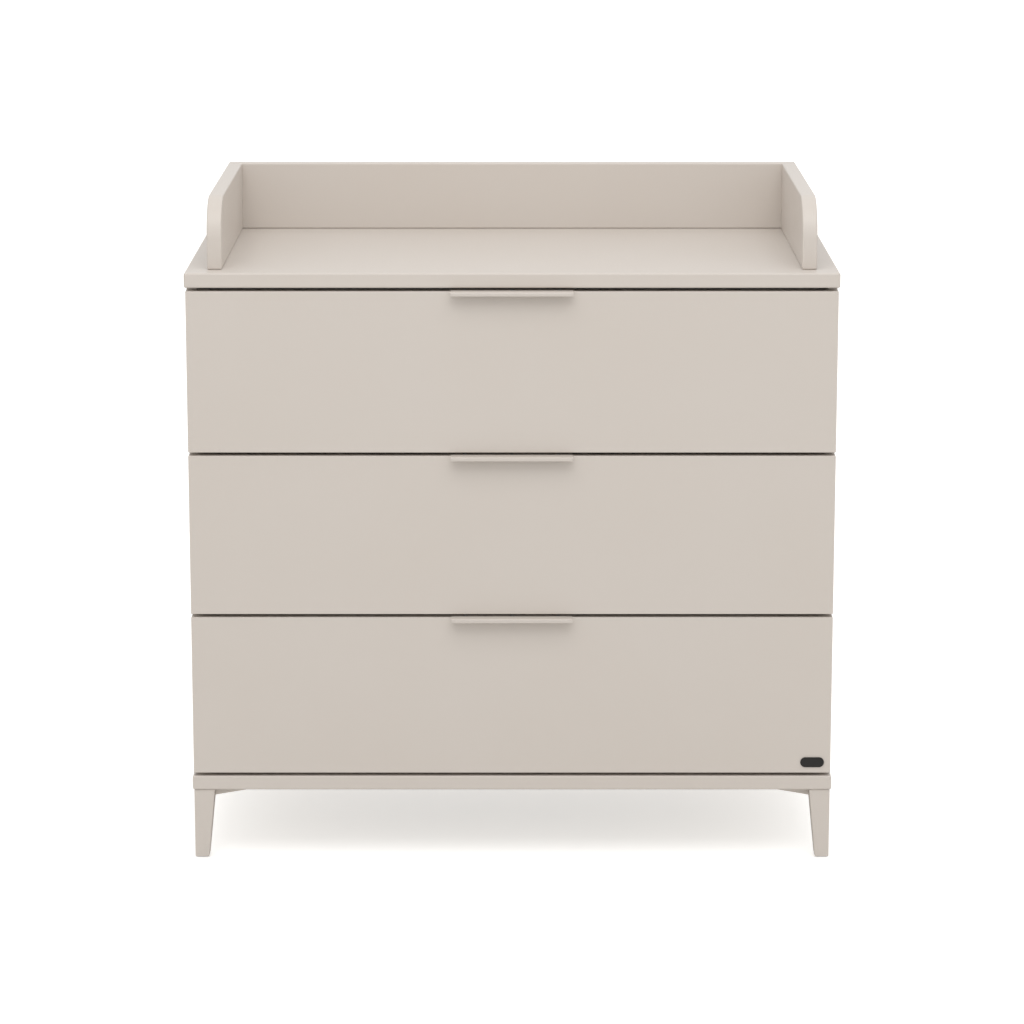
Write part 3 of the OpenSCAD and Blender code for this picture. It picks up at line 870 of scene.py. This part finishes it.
class TABLE_OT_runners(bpy.types.Operator):
    """Ball-bearing runners: rolled cabinet and drawer members, middle members, balls and cages"""

    bl_idname = "table.runners"
    bl_label = "Runners"

    def execute(self, context):
        finish = context.scene.table_finish
        sizes = context.scene.table_sizes
        for level in LEVELS:
            self.channels("cabinet_runners_" + level, "carcass", sizes, sizes.runner_lip, web_outside=True)
            self.channels("drawer_runners_" + level, "drawer_" + level, sizes, 0, web_outside=False)
            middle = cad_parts["middle_runners_" + level]
            middle.data.materials.clear()
            middle.data.materials.append(zinc_plate())
            self.balls(level, finish, sizes)
        return {"FINISHED"}

    def channels(self, node, body, sizes, lip, web_outside):
        """Rolled C-shaped members, one for each side, with their webs on the outside or the inside."""
        both = bmesh.new()
        t = sizes.runner_sheet
        for points in solids(node):
            low, high = span(points)
            on_right = low.x + high.x > 0
            web, tip = (high.x, low.x) if on_right == web_outside else (low.x, high.x)
            inward = 1 if tip > web else -1
            web += inward * t / 2
            if lip:
                tip -= inward * t / 2
            top, bottom = high.z - t / 2, low.z + t / 2
            path = [(tip, top), (web, top), (web, bottom), (tip, bottom)]
            if lip:
                path = [(tip, top - lip), *path, (tip, bottom + lip)]
            outline = folded(path, sizes.runner_bend, t, 4)
            shape = extruded([(x, 0, z) for x, z in outline], Vector((0, low.y, 0)), Vector((0, high.y, 0)))
            gathered(both, rounded(new_object("member", shape), sizes.runner_edge, 1))
        placed(new_object("piece_" + node, both), body, "runner_steel", zinc_plate(), node)

    def balls(self, level, finish, sizes):
        """Balls above and below each middle member: the outer rows at its back, the inner ones in front."""
        cabinet = [span(p) for p in solids("cabinet_runners_" + level)]
        middle = [span(p) for p in solids("middle_runners_" + level)]
        drawer = [span(p) for p in solids("drawer_runners_" + level)]
        lines, strips = [], bmesh.new()
        half_pitch = Vector((0, sizes.ball_pitch / 2, 0))
        half_cage = Vector((sizes.cage_w / 2, 0, sizes.cage_t / 2))
        for (_, c_high), (m_low, m_high), (_, d_high) in zip(cabinet, middle, drawer):
            centre = (m_low + m_high) / 2
            spare = 0.02 * (m_high.y - m_low.y)
            t = sizes.runner_sheet
            for outer, inner, y0, y1 in (
                (c_high.z - t, m_high.z, centre.y - spare, m_high.y - spare),
                (m_high.z - t, d_high.z, m_low.y + spare, centre.y),
            ):
                rise = (outer + inner) / 2 - centre.z
                for z in (centre.z + rise, centre.z - rise):
                    ends = Vector((centre.x, y0, z)), Vector((centre.x, y1, z))
                    lines.append((ends[0] + half_pitch, ends[1] - half_pitch))
                    corners = [end + Vector((i * half_cage.x, 0, j * half_cage.z))
                               for i in (-1, 1) for end in ends for j in (-1, 1)]
                    gathered(strips, new_object("cage", hull(corners)))
        mesh = bpy.data.meshes.new("rows")
        points = [p for line in lines for p in line]
        mesh.from_pydata(points, [(2 * i, 2 * i + 1) for i in range(len(lines))], [])
        balls = run_tree(new_object("piece_balls_" + level, mesh), ball_tree(), {
            "Radius": sizes.ball, "Pitch": sizes.ball_pitch, "Material": zinc_screw(),
        })
        placed(balls, "runner_" + level, "zinc_hardware", zinc_screw())
        nylon = moulded("nylon_cage_moulded", finish.cage, 0.5, 1.5)
        placed(new_object("piece_ball_cages_" + level, strips), "runner_" + level, "glide_plastic", nylon)


class TABLE_OT_screws(bpy.types.Operator):
    """Screws, leg bolts and back nails"""

    bl_idname = "table.screws"
    bl_label = "Screws and nails"

    def execute(self, context):
        stage = context.scene.table_stage
        for node in ("wood_screws", "rail_screws", "leg_bolts", "back_nails"):
            screws(node, "carcass", "zinc_hardware", zinc_screw(), stage.seed)
        for i, level in enumerate(LEVELS):
            screws("drawer_screws_" + level, "drawer_" + level, "zinc_hardware", zinc_screw(),
                   stage.seed + i + 1)
        return {"FINISHED"}


class TABLE_OT_fittings(bpy.types.Operator):
    """Cam locks, cam bolts and dowels keep their CAD shape and get their real surfaces"""

    bl_idname = "table.fittings"
    bl_label = "Fittings"

    def execute(self, context):
        for node, material in (("cam_locks", die_cast()), ("cam_bolts", zinc_screw()), ("dowels", beech())):
            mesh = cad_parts[node].data
            mesh.materials.clear()
            mesh.materials.append(material)
        return {"FINISHED"}


class TABLE_OT_brackets(bpy.types.Operator):
    """Steel anti-tip brackets at the back"""

    bl_idname = "table.brackets"
    bl_label = "Wall brackets"

    def execute(self, context):
        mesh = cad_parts["wall_brackets"].data
        mesh.materials.clear()
        mesh.materials.append(zinc_screw())
        return {"FINISHED"}


class TABLE_OT_bumpers(bpy.types.Operator):
    """Soft bumpers on the side panels' front edges"""

    bl_idname = "table.bumpers"
    bl_label = "Bumpers"

    def execute(self, context):
        finish = context.scene.table_finish
        stage = context.scene.table_stage
        places, forward = [], Vector((0, -1, 0))
        for points in solids("bumpers"):
            low, high = span(points)
            places.append((Vector(((low.x + high.x) / 2, high.y, (low.z + high.z) / 2)), forward))
        soft = moulded("polyurethane_bumper_cast", finish.bumper, 0.3, 3)
        dots = grown("piece_bumpers", bumper_tree(), places, {
            "Radius": (high.x - low.x) / 2, "Height": high.y - low.y, "Seed": stage.seed, "Material": soft,
        })
        placed(dots, "carcass", "bumper_clear", soft, "bumpers")
        return {"FINISHED"}


class TABLE_OT_label(bpy.types.Operator):
    """Blank plate on the bottom drawer"""

    bl_idname = "table.label"
    bl_label = "Label plate"

    def execute(self, context):
        finish = context.scene.table_finish
        sizes = context.scene.table_sizes
        plastic = moulded("acrylic_plate_satin", finish.label, 0.36, 2)
        plate = rounded(new_object("piece_label_plate", hull(solids("label_plate")[0])), sizes.plate_edge)
        placed(plate, "drawer_bottom", "label_black", plastic, "label_plate")
        return {"FINISHED"}


class TABLE_OT_stage(bpy.types.Operator):
    """Pale floor, soft light and the camera"""

    bl_idname = "table.stage"
    bl_label = "Stage"

    def execute(self, context):
        finish = context.scene.table_finish
        stage = context.scene.table_stage
        low, high = CAD_BOX
        floor = bmesh.new()
        bmesh.ops.create_circle(floor, cap_ends=True, segments=96, radius=stage.floor)
        obj = new_object("floor", floor)
        material, tree, bsdf, place = surface("studio_floor_painted", 0.7)
        tone = add(tree, "ShaderNodeTexNoise", {"Vector": place, "Scale": noise_scale(1500), "Detail": 2.0})
        mix = add(tree, "ShaderNodeMix", {0: tone.outputs[0], 6: tinted(finish.floor),
                                          7: tinted(finish.floor, 0.99)}, data_type="RGBA")
        tree.links.new(mix.outputs[2], bsdf.inputs["Base Color"])
        tree.links.new(mix.outputs[2], bsdf.inputs["Emission Color"])
        seen = add(tree, "ShaderNodeLightPath").outputs["Is Camera Ray"]
        glow = add(tree, "ShaderNodeMath", {0: seen, 1: stage.glow}, operation="MULTIPLY")
        tree.links.new(glow.outputs[0], bsdf.inputs["Emission Strength"])
        obj.data.materials.append(material)

        world = bpy.data.worlds.new("studio")
        world.use_nodes = True
        world.node_tree.nodes.clear()
        tree = world.node_tree
        # The surroundings look plain white, and light the table more from above than from the sides.
        way = add(tree, "ShaderNodeSeparateXYZ", {0: add(tree, "ShaderNodeTexCoord").outputs["Generated"]})
        glow = add(tree, "ShaderNodeMapRange", {"Value": way.outputs["Z"], 1: 0, 2: 1, 3: stage.horizon,
                                                4: stage.zenith})
        seen = add(tree, "ShaderNodeLightPath").outputs["Is Camera Ray"]
        strength = add(tree, "ShaderNodeMix", {0: seen, 2: glow.outputs[0], 3: 1.0})
        sky = add(tree, "ShaderNodeBackground", {"Color": (1, 1, 1, 1), "Strength": strength.outputs[0]})
        add(tree, "ShaderNodeOutputWorld", {"Surface": sky.outputs[0]})
        bpy.context.scene.world = world
        bpy.context.scene.view_settings.view_transform = "Standard"

        centre = (low + high) / 2
        for name, place, size, power in (("key", (0, -3.0, 3.5), (3.4, 1.6), stage.key),
                                         ("overhead", (0, -1.3, 2.6), (3.0, 0.6), stage.overhead)):
            lamp = bpy.data.lights.new(name, "AREA")
            lamp.shape, lamp.size, lamp.size_y, lamp.energy = "RECTANGLE", *size, power
            light = bpy.data.objects.new(name, lamp)
            light.location = centre + Vector(place)
            light.rotation_euler = (-Vector(place)).to_track_quat("-Z", "Y").to_euler()
            bpy.context.scene.collection.objects.link(light)

        lens = bpy.data.cameras.new("camera")
        lens.lens, lens.sensor_width, lens.clip_end = stage.lens, stage.sensor, 4 * stage.floor
        camera = bpy.data.objects.new("camera", lens)
        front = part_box("top_panel")[0].y
        camera.location = (0, front - stage.distance, stage.height)
        camera.rotation_euler = (math.radians(90) - stage.pitch, 0, 0)
        bpy.context.scene.collection.objects.link(camera)
        bpy.context.scene.camera = camera
        return {"FINISHED"}


MAKERS = (
    TABLE_OT_panels, TABLE_OT_back, TABLE_OT_rails, TABLE_OT_legs, TABLE_OT_fronts, TABLE_OT_boxes,
    TABLE_OT_handles, TABLE_OT_runners, TABLE_OT_screws, TABLE_OT_fittings, TABLE_OT_brackets,
    TABLE_OT_bumpers, TABLE_OT_label, TABLE_OT_stage,
)


class TABLE_PT_sidebar(bpy.types.Panel):
    """Lists the pieces and their settings"""

    bl_idname = "TABLE_PT_sidebar"
    bl_label = "Changing table"
    bl_space_type = "VIEW_3D"
    bl_region_type = "UI"
    bl_category = "Table"

    def draw(self, context):
        for maker in MAKERS:
            self.layout.operator(maker.bl_idname)
        for name in GROUPS:
            group = getattr(context.scene, name)
            box = self.layout.box()
            for field in group.__annotations__:
                box.prop(group, field)


GROUPS = {"table_finish": TableFinish, "table_sizes": TableSizes, "table_stage": TableStage}


def register():
    for cls in (*GROUPS.values(), *MAKERS, TABLE_PT_sidebar):
        bpy.utils.register_class(cls)
    for name, group in GROUPS.items():
        setattr(bpy.types.Scene, name, PointerProperty(type=group))


def unregister():
    for name in GROUPS:
        delattr(bpy.types.Scene, name)
    for cls in (TABLE_PT_sidebar, *reversed(MAKERS), *GROUPS.values()):
        bpy.utils.unregister_class(cls)


def main():
    register()
    for maker in MAKERS:
        group, name = maker.bl_idname.split(".")
        getattr(getattr(bpy.ops, group), name)()
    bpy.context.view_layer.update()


if __name__ == "__main__":
    main()
